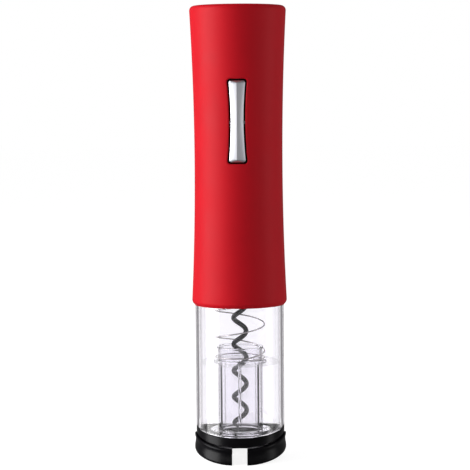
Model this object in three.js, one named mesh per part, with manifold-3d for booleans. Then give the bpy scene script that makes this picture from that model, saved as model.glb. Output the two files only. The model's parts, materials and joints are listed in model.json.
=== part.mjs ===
// Cordless electric wine opener, standing upright on its foil cutter.
// Millimetres, +Z up. The origin is the centre of the surface that it stands on.
// The front, with the rocker switch and the foil cutter's gap, faces -Y.
import * as THREE from 'three';
import { mergeVertices } from 'three/addons/utils/BufferGeometryUtils.js';
import Module from 'manifold-3d';

const wasm = await Module();
wasm.setup();

// ---- driving dimensions ----

const GAP = 0.3; // between neighbouring pieces
const DEG = Math.PI / 180;

// Facets of a full turn, on large, middling and small pieces.
const LARGE = 36;
const MIDDLE = 24;
const SMALL = 12;

const HANDLE = {
  bottom: 87.2, top: 254, waistZ: 168, waistR: 24.6, flareR: 1520, wall: 2.2,
  lowerRim: 90.4, upperRim: 251.2, topFaceR: 24.4, shoulder: 100, lip: 3, openingReach: 5,
};
const TUBE = { r: 24.8, wall: 2.2, top: 96.4 };
const BULKHEAD = { r: 24.8, bottom: 96.7, top: 99.7, skirtR: 22.3, skirtWall: 1.4, skirtBottom: 89.5 };
const BUSH = { r: 6.2, flangeR: 7.6, flange: 1.2, bottom: 94.9 };
const SHAFT_R = 4;

// The grip edges under the tube are arched: low at front and back, high at the sides.
const COLLAR = {
  r: 24.8, bottom: 9.7, bottomRise: 5.7, top: 14.9, topRise: 3.7, holeR: 15.6, floor: 2.7, bandR: 21, seatR: 22.4,
};
const CUTTER = {
  r: 25.8, wall: 1.8, rise: 5.6, rimRise: 5.8, rimHeight: 8.7, footCut: 0.45, gap: 8.5, innerR: 15.8,
  lowerPlate: 5.8, upperPlate: 7.8, plate: 0.8, bridgeHalfAngle: 24, hingeAngle: 20, hingeR: 22,
  seamAngle: 1, linkAngle: 7, linkHalf: 1.6, knuckleR: 2.2, knuckleRoomR: 3.6, knuckleInset: 0.4,
  tabInnerR: 17.8, tab: 1.3, tabOverlap: 0.1, pinR: 1, pinBelow: 1, pinAbove: 0.8, weld: 0.3,
};
const WHEEL = { r: 5, rimR: 4.2, centreR: 18.4, thickness: 0.6, axleR: 0.9, axleHalf: 1.3, angles: [-42, 20] };

const SLEEVE = {
  inR: 11.2, r: 12.8, bottom: 15.2, lipR: 17, lip: 1.4, top: 63.4, rimR: 13.1, rim: 1,
  disc: 54.3, discR: 22.2, discT: 0.9, seatR: 14.8, seatT: 1,
};
const SPRING = { r: 14.1, wireR: 0.38, pitch: 14.9, rightZ: 60.9, turnSteps: 12, deadPitch: 1.1, sides: 4 };
const WORM = {
  r: 3.55, wireR: 1.32, pitch: 14.93, leftZ: 79.3, tipStart: 17.2, tip: 5, bossR: 4.87, boss: 1.2,
  shankR: 2, shankTop: 90.2, top: 87.4, turnSteps: 14, sides: 6, tipSides: 8, bury: 0.4,
};
const HUB = { r: 6, bottom: 89, top: 94.5, floor: 1.5 };

// Two planetary stages, alike: ratio 1 + 45 / 9 = 6 each, 36 in all.
const GEAR = {
  module: 0.8, sun: 9, planet: 18, ring: 45, pressure: 20 * DEG, backlash: 0.22,
  addendum: 0.85, dedendum: 1.15, width: 6.5, planets: 3, boreR: 2.2, pinR: 1.85,
};
const STAGE2 = { plate: 100.2, plateT: 2.5, gears: 103.2 };
const STAGE1 = { plate: 110.7, plateT: 2.5, gears: 113.7 };
const CARRIER_R = 14.6;
const RING = { r: 21, bottom: 100.1, top: 121.5 };

const FRAME = {
  r: 21.6, wall: 1.8, bottom: 122, plate: 2.5, top: 185.7, ribR: 14.2, rib: 2.5, ribs: [132, 152],
  windowBottom: 158, windowHalf: 9.6, windowDepth: 10, split: 0.15, shaftHoleR: 3, screwHoleR: 1.5,
};
const MOTOR = {
  r: 13.85, wall: 0.9, bottom: 124.8, top: 160, shaftR: 1.15, shaftBottom: 114.4,
  magnetR: 10.5, magnetHalfAngle: 62, coreR: 9.9, coreBottom: 130, coreTop: 150,
  commutatorR: 3.2, commutatorTop: 157, capTop: 163.4, screwR: 8, mouthR: 3.2, floor: 2, chamfer: 1,
  slotDepth: 4.5, slotHalf: 1, shaftEnd: 1.4, plug: 2, capInset: 0.2, tagHalf: 1.4, tagT: 0.6, tag: 5,
};
const SCREW = { headR: 2.2, head: 1.2, r: 1.2 };

const CELL = { r: 7.1, pitch: 15.3, can: 49.3, nubR: 2.7, nub: 1.2, edge: 0.8, facets: 18, spring: 4.7 };
const CONE_SPRING = { wireR: 0.35, r: 4.6, endR: 2.4, turns: 2.5, dead: 0.9, turnSteps: 8, sides: 4 };
const HOLDER = { half: 16.2, corner: 6, boreR: 7.45, bottom: 186, floor: 2.4, top: 243.6, wireR: 2.5 };
const CONTACT = { z: 188.7, t: 0.5, capZ: 245.1, r: 5 };
const CAP = { r: 19.2, plugR: 18.2, bottom: 246, openingR: 19.5, grip: 5, pit: 3.4, pitR: 15.8, flange: 3.6 };

const ROCKER = {
  z: 189.4, length: 45.8, endHalf: 4.75, waistHalf: 3.6, corner: 1.3, front: -25.7, back: -22.9,
  clearance: 0.95, pinR: 0.8, pinHalf: 4.8, bearingHalf: 5.3, pinY: -22.1, earHalf: 3, earRise: 2, earBack: 1.4,
  stemHalf: 1.1, stemRise: 0.8, stemEnd: -18.6,
};
const TRAY = {
  front: -20.9, t: 1, halfWidth: 7.1, margin: 2.4, slot: 3, bearing: 1.5, bearingRise: 1.6, side: 0.4,
  earRoom: 0.6,
};
const SWITCH = {
  front: -19.5, back: -16.9, half: 4, halfHeight: 8, wall: 0.7, sliderHalf: 4, play: 1, inset: 0.2,
  web: 0.4, webHalf: 1.5, notchHalf: 1.1,
};
const BOARD = { front: -16.6, t: 1.1, halfWidth: 6.6, bottom: 176, top: 203 };

const PAST = 1; // how far a cutting body runs past what it cuts
const JOIN = 0.5; // how far two pieces of one moulding run into each other
const FAR = 30; // beyond every edge of the model in X and Y
const BELOW = -10; // beneath the model

// ---- solids ----

// A closed solid from a geometry: shared corners merged, flat triangles dropped, faces out.
function solid(geometry) {
  const bare = geometry.clone();
  bare.deleteAttribute('normal');
  bare.deleteAttribute('uv');
  const merged = mergeVertices(bare, 1e-5);
  const corners = merged.attributes.position.array;
  const index = merged.index.array;
  const kept = [];
  let volume = 0;
  for (let i = 0; i < index.length; i += 3) {
    const [a, b, c] = [index[i], index[i + 1], index[i + 2]];
    if (a === b || b === c || c === a) continue;
    kept.push(a, b, c);
    const [p, q, r] = [a, b, c].map((n) => new THREE.Vector3().fromArray(corners, 3 * n));
    volume += p.dot(q.cross(r));
  }
  if (volume < 0) kept.reverse();
  const mesh = { numProp: 3, vertProperties: new Float32Array(corners), triVerts: new Uint32Array(kept) };
  return new wasm.Manifold(new wasm.Mesh(mesh));
}

function geometryOf(body) {
  const mesh = body.getMesh();
  const geometry = new THREE.BufferGeometry();
  geometry.setAttribute('position', new THREE.BufferAttribute(new Float32Array(mesh.vertProperties), 3));
  geometry.setIndex(new THREE.BufferAttribute(new Uint32Array(mesh.triVerts), 1));
  geometry.computeVertexNormals();
  return geometry;
}

const join = (...bodies) => bodies.reduce((whole, body) => whole.add(body));
const cut = (body, ...tools) => tools.reduce((rest, tool) => rest.subtract(tool), body);

function box(x, y, z) {
  const [[x0, x1], [y0, y1], [z0, z1]] = [x, y, z];
  const geometry = new THREE.BoxGeometry(x1 - x0, y1 - y0, z1 - z0);
  return solid(geometry.translate((x0 + x1) / 2, (y0 + y1) / 2, (z0 + z1) / 2));
}

function cylinder(r, z0, z1, at = [0, 0], facets = MIDDLE) {
  const geometry = new THREE.CylinderGeometry(r, r, z1 - z0, facets).rotateX(90 * DEG);
  return solid(geometry.translate(at[0], at[1], (z0 + z1) / 2));
}

// A rod along X or Y, between two values of that axis.
function rod(axis, r, from, to, at) {
  const geometry = new THREE.CylinderGeometry(r, r, to - from, SMALL);
  if (axis === 'x') geometry.rotateZ(90 * DEG);
  const middle = (from + to) / 2;
  const centre = axis === 'x' ? [middle, at[0], at[1]] : [at[0], middle, at[1]];
  return solid(geometry.translate(...centre));
}

// Turns a closed [radius, z] outline about the Z axis.
function turned(outline, facets) {
  const points = outline.map(([r, z]) => new THREE.Vector2(r, z));
  if (outline[0][0] > 0) points.push(points[0].clone());
  return solid(new THREE.LatheGeometry(points, facets).rotateX(90 * DEG));
}

function ring(inR, outR, z0, z1, facets = LARGE) {
  return turned([[inR, z0], [outR, z0], [outR, z1], [inR, z1]], facets);
}

function prism(points, z0, z1) {
  const shape = new THREE.Shape(points.map(([x, y]) => new THREE.Vector2(x, y)));
  const geometry = new THREE.ExtrudeGeometry(shape, { depth: z1 - z0, bevelEnabled: false });
  return solid(geometry.translate(0, 0, z0));
}

// An outline in X and Z, extruded from one Y to another.
function slab(shape, y0, y1) {
  const geometry = new THREE.ExtrudeGeometry(shape, { depth: y1 - y0, bevelEnabled: false, curveSegments: 5 });
  return solid(geometry.rotateX(90 * DEG).translate(0, y1, 0));
}

// A wedge of space about the Z axis, between two angles, for cutting sectors.
function wedge(from, to, z0, z1, reach = 60) {
  const steps = Math.max(2, Math.ceil((to - from) / 45));
  const points = [[0, 0]];
  for (let i = 0; i <= steps; i++) {
    const angle = (from + ((to - from) * i) / steps) * DEG;
    points.push([reach * Math.cos(angle), reach * Math.sin(angle)]);
  }
  return prism(points, z0, z1);
}

// A round wire along a curve.
function wire(curve, r, steps, sides) {
  const points = [];
  for (let i = 0; i < sides; i++) {
    const angle = (2 * Math.PI * i) / sides;
    points.push(new THREE.Vector2(r * Math.cos(angle), r * Math.sin(angle)));
  }
  curve.arcLengthDivisions = steps * 6;
  const options = { steps, bevelEnabled: false, extrudePath: curve };
  return solid(new THREE.ExtrudeGeometry(new THREE.Shape(points), options));
}

// A coil about the Z axis through [turns, z] stations, with a steady climb between stations.
class Coil extends THREE.Curve {
  constructor(r, stations, endR = r) {
    super();
    Object.assign(this, { r, stations, endR });
  }

  getPoint(t) {
    const { stations } = this;
    const [first, last] = [stations[0][0], stations[stations.length - 1][0]];
    const turns = first + (last - first) * t;
    const n = Math.max(1, stations.findIndex(([end]) => end >= turns - 1e-9));
    const [[fromTurns, fromZ], [toTurns, toZ]] = [stations[n - 1], stations[n]];
    const z = fromZ + ((toZ - fromZ) * (turns - fromTurns)) / (toTurns - fromTurns);
    const r = this.r + (this.endR - this.r) * t;
    const angle = 2 * Math.PI * turns;
    return new THREE.Vector3(r * Math.cos(angle), r * Math.sin(angle), z);
  }
}

const turnsOf = (coil) => coil.stations[coil.stations.length - 1][0] - coil.stations[0][0];

function coilWire(coil, r, turnSteps, sides) {
  return wire(coil, r, Math.round(turnsOf(coil) * turnSteps), sides);
}

// ---- arched grip edges ----

// How far an arched edge has risen at a given Y: nothing at front and back, the most at the sides.
function archRise(y, rise, r) {
  const blend = 0.12;
  const s = Math.abs(y) / r;
  return rise * (1 - (Math.hypot(s, blend) - blend) / (Math.hypot(1, blend) - blend));
}

// The space under an arched edge, or between two of them, as a body that runs across in X.
function underArch(z, rise, r, floor = -5) {
  const reach = 1.1 * r;
  const shape = new THREE.Shape([new THREE.Vector2(-reach, floor), new THREE.Vector2(reach, floor)]);
  const steps = 12;
  for (let i = 0; i <= steps; i++) {
    const y = reach - (2 * reach * i) / steps;
    shape.lineTo(y, z + archRise(y, rise, r));
  }
  const geometry = new THREE.ExtrudeGeometry(shape, { depth: 4 * r, bevelEnabled: false });
  return solid(geometry.rotateX(90 * DEG).rotateZ(90 * DEG).translate(-2 * r, 0, 0));
}

// ---- handle ----

const handleR = (z) => HANDLE.waistR + (z - HANDLE.waistZ) ** 2 / (2 * HANDLE.flareR);

function handleWall(z0, z1, steps, inset = 0) {
  const points = [];
  for (let i = 0; i <= steps; i++) {
    const z = z0 + ((z1 - z0) * i) / steps;
    points.push([handleR(z) - inset, z]);
  }
  return points;
}

// The rocker's outline, waisted in the middle, grown by a clearance.
function rockerOutline(grow) {
  const half = ROCKER.length / 2 + grow;
  const end = ROCKER.endHalf + grow;
  const bend = 2 * (ROCKER.waistHalf + grow) - end;
  const corner = ROCKER.corner + grow / 2;
  const shape = new THREE.Shape();
  shape.moveTo(-end + corner, -half);
  shape.lineTo(end - corner, -half);
  shape.quadraticCurveTo(end, -half, end, -half + corner);
  shape.quadraticCurveTo(bend, 0, end, half - corner);
  shape.quadraticCurveTo(end, half, end - corner, half);
  shape.lineTo(-end + corner, half);
  shape.quadraticCurveTo(-end, half, -end, half - corner);
  shape.quadraticCurveTo(-bend, 0, -end, -half + corner);
  shape.quadraticCurveTo(-end, -half, -end + corner, -half);
  return shape;
}

// Outlines are drawn in X and Z, but extruding turns Z over, so they are the same both ways up.
const rockerBody = (grow, y0, y1) => slab(rockerOutline(grow), y0, y1).translate(0, 0, ROCKER.z);

function handleShell() {
  const { bottom, top, lowerRim, upperRim, topFaceR, shoulder, wall, lip, waistR, openingReach } = HANDLE;
  const socketR = TUBE.r + GAP;
  const rimR = handleR(upperRim);
  const outline = [
    [socketR, bottom], [socketR + 0.5, bottom + 0.2], [handleR(lowerRim) - 0.25, lowerRim - 1],
    ...handleWall(lowerRim, upperRim, 6),
    [rimR - 0.6, upperRim + 1.7], [topFaceR, top], [CAP.openingR, top], [CAP.openingR, top - lip],
    ...handleWall(shoulder, top - lip, 4, wall).reverse(),
    [socketR, shoulder],
  ];
  const opening = rockerBody(ROCKER.clearance, -waistR - openingReach, -waistR + openingReach);
  const { bearingHalf, pinY, z, earRise } = ROCKER;
  const bearingPocket = box([-bearingHalf, bearingHalf], [pinY - 1.3, pinY + 3], [z - earRise, z + earRise]);
  return cut(turned(outline, LARGE), opening, bearingPocket);
}

function batteryCap() {
  const { r, plugR, bottom, grip, pit, pitR, flange } = CAP;
  const { top } = HANDLE;
  const body = turned([[0, bottom], [plugR, bottom], [plugR, top - flange], [r, top - HANDLE.lip],
    [r, top], [0, top]], LARGE);
  const hollow = cylinder(pitR, top - pit, top + PAST);
  return cut(body, cut(hollow, box([-grip / 2, grip / 2], [-r, r], [bottom, top + 2 * PAST])));
}

function capContact(side) {
  const x = (side * CELL.pitch) / 2;
  const y = CELL.pitch / 2;
  return box([x - CONTACT.r, x + CONTACT.r], [-y - CONTACT.r, y + CONTACT.r],
    [CONTACT.capZ, CONTACT.capZ + CONTACT.t]);
}

// ---- cells and their holder ----

// Corners in turn, each with whether the cell's positive end is up.
const CELLS = [[-1, -1, true], [-1, 1, false], [1, 1, true], [1, -1, false]];
const cellAt = ([i, j]) => [(i * CELL.pitch) / 2, (j * CELL.pitch) / 2];

function cell(positiveUp) {
  const { r, can, nubR, nub, edge, facets } = CELL;
  const outline = [[0, 0], [r, 0], [r, can - edge], [r - edge, can], [nubR, can], [nubR, can + nub],
    [0, can + nub]];
  const body = turned(outline, facets);
  return positiveUp ? body : body.rotate([180, 0, 0]).translate([0, 0, can + nub]);
}

function cellBottom(positiveUp) {
  const base = CONTACT.z + CONTACT.t;
  return positiveUp ? base + CELL.spring + GAP : base + GAP;
}

// A cone spring under a cell's flat end, or over it when the flat end is up.
function contactSpring(positiveUp) {
  const { wireR, r, endR, turns, dead, turnSteps, sides } = CONE_SPRING;
  const height = CELL.spring - 2 * wireR - 2 * GAP;
  const coil = new Coil(r, [[0, 0], [1, dead], [turns, height]], endR);
  const body = coilWire(coil, wireR, turnSteps, sides);
  if (positiveUp) return body.translate([0, 0, CONTACT.z + CONTACT.t + GAP + wireR]);
  return body.rotate([180, 0, 0]).translate([0, 0, CONTACT.capZ - GAP - wireR]);
}

function holderContact(cellA, cellB) {
  const [a, b] = [cellAt(cellA), cellAt(cellB)];
  const span = (n) => [Math.min(a[n], b[n]) - CONTACT.r, Math.max(a[n], b[n]) + CONTACT.r];
  return box(span(0), span(1), [CONTACT.z, CONTACT.z + CONTACT.t]);
}

function batteryHolder() {
  const { half, corner, boreR, bottom, floor, top, wireR } = HOLDER;
  const s = half - corner;
  const shape = new THREE.Shape();
  shape.moveTo(-s, -half);
  shape.lineTo(s, -half);
  shape.absarc(s, -s, corner, -90 * DEG, 0);
  shape.absarc(s, s, corner, 0, 90 * DEG);
  shape.absarc(-s, s, corner, 90 * DEG, 180 * DEG);
  shape.absarc(-s, -s, corner, 180 * DEG, 270 * DEG);
  const options = { depth: top - bottom, bevelEnabled: false, curveSegments: 3 };
  const geometry = new THREE.ExtrudeGeometry(shape, options);
  const block = solid(geometry.translate(0, 0, bottom));
  const bores = CELLS.map((c) => cylinder(boreR, bottom + floor, top + PAST, cellAt(c), CELL.facets));
  const tray = CELL.pitch / 2 + CONTACT.r + GAP;
  const contacts = box([-tray, tray], [-tray, tray], [bottom + floor, CONTACT.z + CONTACT.t + GAP]);
  const wireHole = cylinder(wireR, bottom - PAST, bottom + floor + PAST, [0, 0], SMALL);
  const boardHalf = BOARD.halfWidth + GAP;
  const boardRoom = box([-boardHalf, boardHalf], [-half - PAST, BOARD.front + BOARD.t + GAP],
    [bottom - PAST, BOARD.top + GAP]);
  return cut(block, ...bores, contacts, wireHole, boardRoom);
}

// ---- rocker and switch ----

function rockerButton() {
  const { front, back, z, pinR, pinY, earHalf, earRise, earBack, stemHalf, stemRise, stemEnd } = ROCKER;
  const cap = rockerBody(0, front, back);
  const ear = box([-earHalf, earHalf], [back - JOIN, pinY + earBack], [z - earRise, z + earRise]);
  const stem = box([-stemHalf, stemHalf], [pinY, stemEnd], [z - stemRise, z + stemRise]);
  return cut(join(cap, ear, stem), rod('x', pinR + GAP, -FAR, FAR, [pinY, z]));
}

function rockerTray() {
  const { front, t, halfWidth, margin, slot, bearing, bearingRise, side, earRoom } = TRAY;
  const { z, length, pinR, pinY, stemHalf, earHalf } = ROCKER;
  const half = length / 2 + margin;
  const plate = box([-halfWidth, halfWidth], [front, front + t], [z - half, z + half]);
  const [inner, outer] = [earHalf + side, earHalf + side + bearing];
  const bearings = box([-outer, outer], [pinY - side, front + t / 2], [z - bearingRise, z + bearingRise]);
  const room = box([-inner, inner], [pinY - PAST, front + earRoom], [z - slot, z + slot]);
  const well = box([-stemHalf - PAST, stemHalf + PAST], [front - PAST, front + t + PAST], [z - slot, z + slot]);
  return cut(join(plate, bearings), room, well, rod('x', pinR + GAP, -FAR, FAR, [pinY, z]));
}

function switchHousing() {
  const { front, back, half, halfHeight, wall, sliderHalf, play } = SWITCH;
  const { z } = ROCKER;
  const body = box([-half, half], [front, back], [z - halfHeight, z + halfHeight]);
  const room = sliderHalf + play;
  return cut(body, box([-half + wall, half - wall], [front - PAST, back - wall], [z - room, z + room]));
}

function switchSlider() {
  const { front, back, half, wall, sliderHalf, inset, web, webHalf, notchHalf } = SWITCH;
  const { z, stemHalf } = ROCKER;
  const across = [-half + wall + GAP, half - wall - GAP];
  const rear = back - wall - GAP;
  const body = box(across, [front + inset, rear], [z - sliderHalf, z + sliderHalf]);
  const notch = box([-stemHalf - GAP, stemHalf + GAP], [front - PAST, back], [z - notchHalf, z + notchHalf]);
  return join(cut(body, notch), box(across, [rear - web, rear], [z - webHalf, z + webHalf]));
}

const switchBoard = () => box([-BOARD.halfWidth, BOARD.halfWidth], [BOARD.front, BOARD.front + BOARD.t],
  [BOARD.bottom, BOARD.top]);

// ---- gears ----

const involute = (angle) => Math.tan(angle) - angle;

// The outline of a gear: each tooth has four corners, on an involute at its root and tip.
function gearOutline(teeth, inside, phase = 0) {
  const { module, pressure, backlash, addendum, dedendum } = GEAR;
  const pitchR = (module * teeth) / 2;
  const tipR = pitchR + module * (inside ? dedendum : addendum);
  const rootR = pitchR - module * (inside ? addendum : dedendum);
  const baseR = pitchR * Math.cos(pressure);
  const slack = ((inside ? 1 : -1) * backlash) / 2 / pitchR;
  const halfAngle = (r) => Math.PI / (2 * teeth) + slack + involute(pressure)
    - involute(Math.acos(Math.min(1, baseR / r)));
  const corners = [[rootR, -halfAngle(rootR)], [tipR, -halfAngle(tipR)], [tipR, halfAngle(tipR)],
    [rootR, halfAngle(rootR)]];
  const points = [];
  for (let i = 0; i < teeth; i++) {
    const centre = phase + (2 * Math.PI * i) / teeth;
    for (const [r, angle] of corners) points.push([r * Math.cos(centre + angle), r * Math.sin(centre + angle)]);
  }
  return points;
}

const PLANET_R = (GEAR.module * (GEAR.sun + GEAR.planet)) / 2;
const planetAngle = (i) => (2 * Math.PI * i) / GEAR.planets;
const planetAt = (i) => [PLANET_R * Math.cos(planetAngle(i)), PLANET_R * Math.sin(planetAngle(i))];

// A planet wheel about its own axis, with a gap between teeth towards the sun and the ring.
function planetGear(i, z) {
  const phase = planetAngle(i) + Math.PI / GEAR.planet;
  const body = prism(gearOutline(GEAR.planet, false, phase), z, z + GEAR.width);
  const [x, y] = planetAt(i);
  return cut(body, cylinder(GEAR.boreR, z - PAST, z + GEAR.width + PAST, [0, 0], SMALL)).translate([x, y, 0]);
}

function planetCarrier(stage) {
  const top = stage.plate + stage.plateT;
  let body = cylinder(CARRIER_R, stage.plate, top);
  for (let i = 0; i < GEAR.planets; i++) {
    body = body.add(cylinder(GEAR.pinR, top - JOIN, stage.gears + GEAR.width, planetAt(i), SMALL));
  }
  return body;
}

// The first carrier and the second stage's sun wheel are one moulding.
function firstCarrier() {
  const sun = prism(gearOutline(GEAR.sun, false), STAGE2.gears, STAGE1.plate + JOIN);
  return planetCarrier(STAGE1).add(sun);
}

function outputCarrier() {
  return planetCarrier(STAGE2).add(cylinder(SHAFT_R, HUB.bottom + HUB.floor, STAGE2.plate + JOIN));
}

function motorPinion() {
  const body = prism(gearOutline(GEAR.sun, false), STAGE1.gears, STAGE1.gears + GEAR.width);
  return cut(body, cylinder(MOTOR.shaftR + GAP, RING.bottom, FRAME.bottom, [0, 0], SMALL));
}

function ringGear() {
  const teeth = prism(gearOutline(GEAR.ring, true, Math.PI / GEAR.ring), RING.bottom - PAST, RING.top + PAST);
  return cut(cylinder(RING.r, RING.bottom, RING.top, [0, 0], LARGE), teeth);
}

// ---- motor and its frame ----

function motorCan() {
  const { r, wall, bottom, top, mouthR, floor, chamfer } = MOTOR;
  const outline = [[mouthR, bottom], [r - chamfer, bottom], [r, bottom + chamfer], [r, top], [r - wall, top],
    [r - wall, bottom + floor], [mouthR, bottom + floor]];
  return turned(outline, MIDDLE);
}

function motorMagnet(side) {
  const { r, wall, magnetR, magnetHalfAngle, coreBottom, coreTop } = MOTOR;
  const body = ring(magnetR, r - wall - GAP, coreBottom - PAST, coreTop + PAST, MIDDLE);
  const middle = side > 0 ? 0 : 180;
  return body.intersect(wedge(middle - magnetHalfAngle, middle + magnetHalfAngle, MOTOR.bottom, MOTOR.top));
}

function motorArmature() {
  const { shaftR, shaftBottom, shaftEnd, coreR, coreBottom, coreTop, commutatorR, commutatorTop, capTop } = MOTOR;
  const { slotDepth, slotHalf } = MOTOR;
  const slots = [0, 1, 2].map((i) => {
    const slot = box([coreR - slotDepth, coreR + PAST], [-slotHalf, slotHalf], [coreBottom - PAST, coreTop + PAST]);
    return slot.rotate([0, 0, 60 + 120 * i]);
  });
  const core = cut(cylinder(coreR, coreBottom, coreTop), ...slots);
  const shaft = cylinder(shaftR, shaftBottom, capTop + shaftEnd, [0, 0], SMALL);
  return join(core, shaft, cylinder(commutatorR, coreTop - JOIN, commutatorTop, [0, 0], SMALL));
}

function motorEndCap() {
  const { r, wall, top, capTop, shaftR, plug, capInset, screwR, tagHalf, tagT, tag } = MOTOR;
  const neck = ring(shaftR + GAP, r - wall - GAP, top - plug, top + JOIN, MIDDLE);
  const disc = ring(shaftR + GAP, r - capInset, top + GAP, capTop, MIDDLE);
  const terminals = [-screwR, screwR].map((x) => box([x - tagHalf, x + tagHalf], [-tagT / 2, tagT / 2],
    [capTop - JOIN, capTop + tag]));
  return join(neck, disc, ...terminals);
}

// Half of the tubular frame that clamps the motor: the motor plate is part of the rear half.
function frameHalf(side) {
  const { r, wall, bottom, plate, top, ribR, rib, ribs, split } = FRAME;
  const { windowBottom, windowHalf, windowDepth, shaftHoleR, screwHoleR } = FRAME;
  const rings = ribs.map((z) => ring(ribR, r - wall / 2, z, z + rib, MIDDLE));
  const tube = join(ring(r - wall, r, bottom, top, MIDDLE), ...rings);
  const shell = tube.intersect(box([-FAR, FAR], side < 0 ? [-FAR, -split] : [split, FAR], [bottom, top]));
  if (side < 0) {
    return cut(shell, box([-windowHalf, windowHalf], [-FAR, -windowDepth], [windowBottom, top + PAST]),
      cylinder(r + PAST, bottom - PAST, bottom + plate + GAP));
  }
  const motorPlate = cylinder(r, bottom, bottom + plate);
  const hole = (radius, x) => cylinder(radius, bottom - PAST, bottom + plate + PAST, [x, 0], SMALL);
  return cut(join(shell, motorPlate), hole(shaftHoleR, 0), hole(screwHoleR, -MOTOR.screwR),
    hole(screwHoleR, MOTOR.screwR));
}

function motorScrew(side) {
  const at = [side * MOTOR.screwR, 0];
  const { bottom, plate } = FRAME;
  const seat = bottom - GAP;
  return join(cylinder(SCREW.headR, seat - SCREW.head, seat, at, SMALL),
    cylinder(SCREW.r, seat - JOIN, bottom + plate - GAP, at, SMALL));
}

// ---- bulkhead, tube and neck sleeve ----

function bulkhead() {
  const { r, bottom, top, skirtR, skirtWall, skirtBottom } = BULKHEAD;
  const hole = BUSH.r + GAP;
  const inner = skirtR - skirtWall;
  const outline = [[hole, bottom], [inner, bottom], [inner, skirtBottom], [skirtR, skirtBottom], [skirtR, bottom],
    [r, bottom], [r, top], [hole, top]];
  return turned(outline, LARGE);
}

function outputBush() {
  const { r, flangeR, flange, bottom } = BUSH;
  const inner = SHAFT_R + GAP;
  const top = BULKHEAD.top - GAP;
  return turned([[inner, bottom], [flangeR, bottom], [flangeR, bottom + flange], [r, bottom + flange],
    [r, top], [inner, top]], MIDDLE);
}

function clearTube() {
  const { r, wall, top } = TUBE;
  const body = ring(r - wall, r, 0, top);
  return cut(body, underArch(COLLAR.top + GAP, COLLAR.topRise, COLLAR.r));
}

function neckSleeve() {
  const { inR, r, bottom, lipR, lip, top, rimR, rim, disc, discR, discT, seatR, seatT } = SLEEVE;
  const seat = disc + discT;
  return turned([
    [inR, bottom], [lipR, bottom], [lipR, bottom + lip], [r, bottom + lip], [r, disc], [discR, disc],
    [discR, seat], [seatR, seat], [seatR, seat + seatT], [r - 0.2, seat + seatT], [r - 0.2, top - rim],
    [rimR, top - rim], [rimR, top], [inR, top],
  ], MIDDLE);
}

// Closed end turns on the sleeve's seat and under the bulkhead, open turns between them.
function sleeveSpring() {
  const { r, wireR, pitch, rightZ, turnSteps, deadPitch, sides } = SPRING;
  const seat = SLEEVE.disc + SLEEVE.discT + SLEEVE.seatT + GAP + wireR;
  const ceiling = BULKHEAD.bottom - GAP - wireR;
  const turnsAt = (z) => (z - rightZ) / pitch;
  const [low, high] = [seat + deadPitch, ceiling - deadPitch];
  const stations = [[turnsAt(low) - 1, seat], [turnsAt(low), low], [turnsAt(high), high],
    [turnsAt(high) + 1, ceiling]];
  return coilWire(new Coil(r, stations), wireR, turnSteps, sides);
}

function bottomCollar() {
  const { r, bottom, bottomRise, top, topRise, holeR, floor, bandR, seatR } = COLLAR;
  const high = top + topRise + PAST;
  const band = ring(bandR, r, bottom - PAST, high);
  const trimmed = cut(band.intersect(underArch(top, topRise, r)), underArch(bottom, bottomRise, r));
  const plug = ring(holeR, seatR, top - floor, top);
  return cut(join(trimmed, plug), ring(holeR, seatR, top, high + PAST));
}

// ---- corkscrew ----

function corkscrew() {
  const { r, wireR, pitch, leftZ, tipStart, tip, tipSides, bury, bossR, boss, shankR, shankTop, top } = WORM;
  const turnsAt = (z) => 0.5 + (z - leftZ) / pitch;
  const coil = new Coil(r, [[turnsAt(tipStart), tipStart], [turnsAt(top), top]]);
  const start = coil.getPoint(0);
  const direction = coil.getTangent(0).negate();
  const cone = new THREE.ConeGeometry(wireR * 0.98, tip, tipSides);
  cone.applyQuaternion(new THREE.Quaternion().setFromUnitVectors(new THREE.Vector3(0, 1, 0), direction));
  const middle = start.clone().addScaledVector(direction, tip / 2 - bury);
  cone.translate(middle.x, middle.y, middle.z);
  return join(coilWire(coil, wireR, WORM.turnSteps, WORM.sides), solid(cone),
    cylinder(bossR, top - bury, top + boss, [0, 0], SMALL), cylinder(shankR, top, shankTop, [0, 0], SMALL));
}

function corkscrewHub() {
  const { r, bottom, top, floor } = HUB;
  const body = cylinder(r, bottom, top);
  const shaftBore = cylinder(SHAFT_R + GAP, bottom + floor - GAP, top + PAST);
  return cut(body, shaftBore, cylinder(WORM.shankR + GAP, bottom - PAST, bottom + floor, [0, 0], SMALL));
}

// ---- foil cutter ----

const atAngle = (r, angle) => [r * Math.cos(angle * DEG), r * Math.sin(angle * DEG)];
const hingeAt = (side) => atAngle(CUTTER.hingeR, 90 - side * CUTTER.hingeAngle);
const wheelAt = (side, angle) => {
  const [x, y] = atAngle(WHEEL.centreR, angle);
  return [side * x, y];
};

// The ring that both arms and the bridge are cut from: an outer wall, and two plates for the wheels.
function cutterRing() {
  const { r, wall, rise, rimRise, rimHeight, footCut, innerR, lowerPlate, upperPlate, plate, weld } = CUTTER;
  const outer = ring(r - wall, r, -PAST, rimHeight + rimRise + PAST);
  const edge = cut(outer.intersect(underArch(rimHeight, rimRise, r)), underArch(-footCut, rise, r, BELOW));
  const foot = box([-FAR, FAR], [-FAR, FAR], [BELOW, 0]);
  const plates = [lowerPlate, upperPlate].map((z) => ring(innerR, r - wall + weld, z, z + plate));
  return join(cut(edge, foot), ...plates);
}

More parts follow.
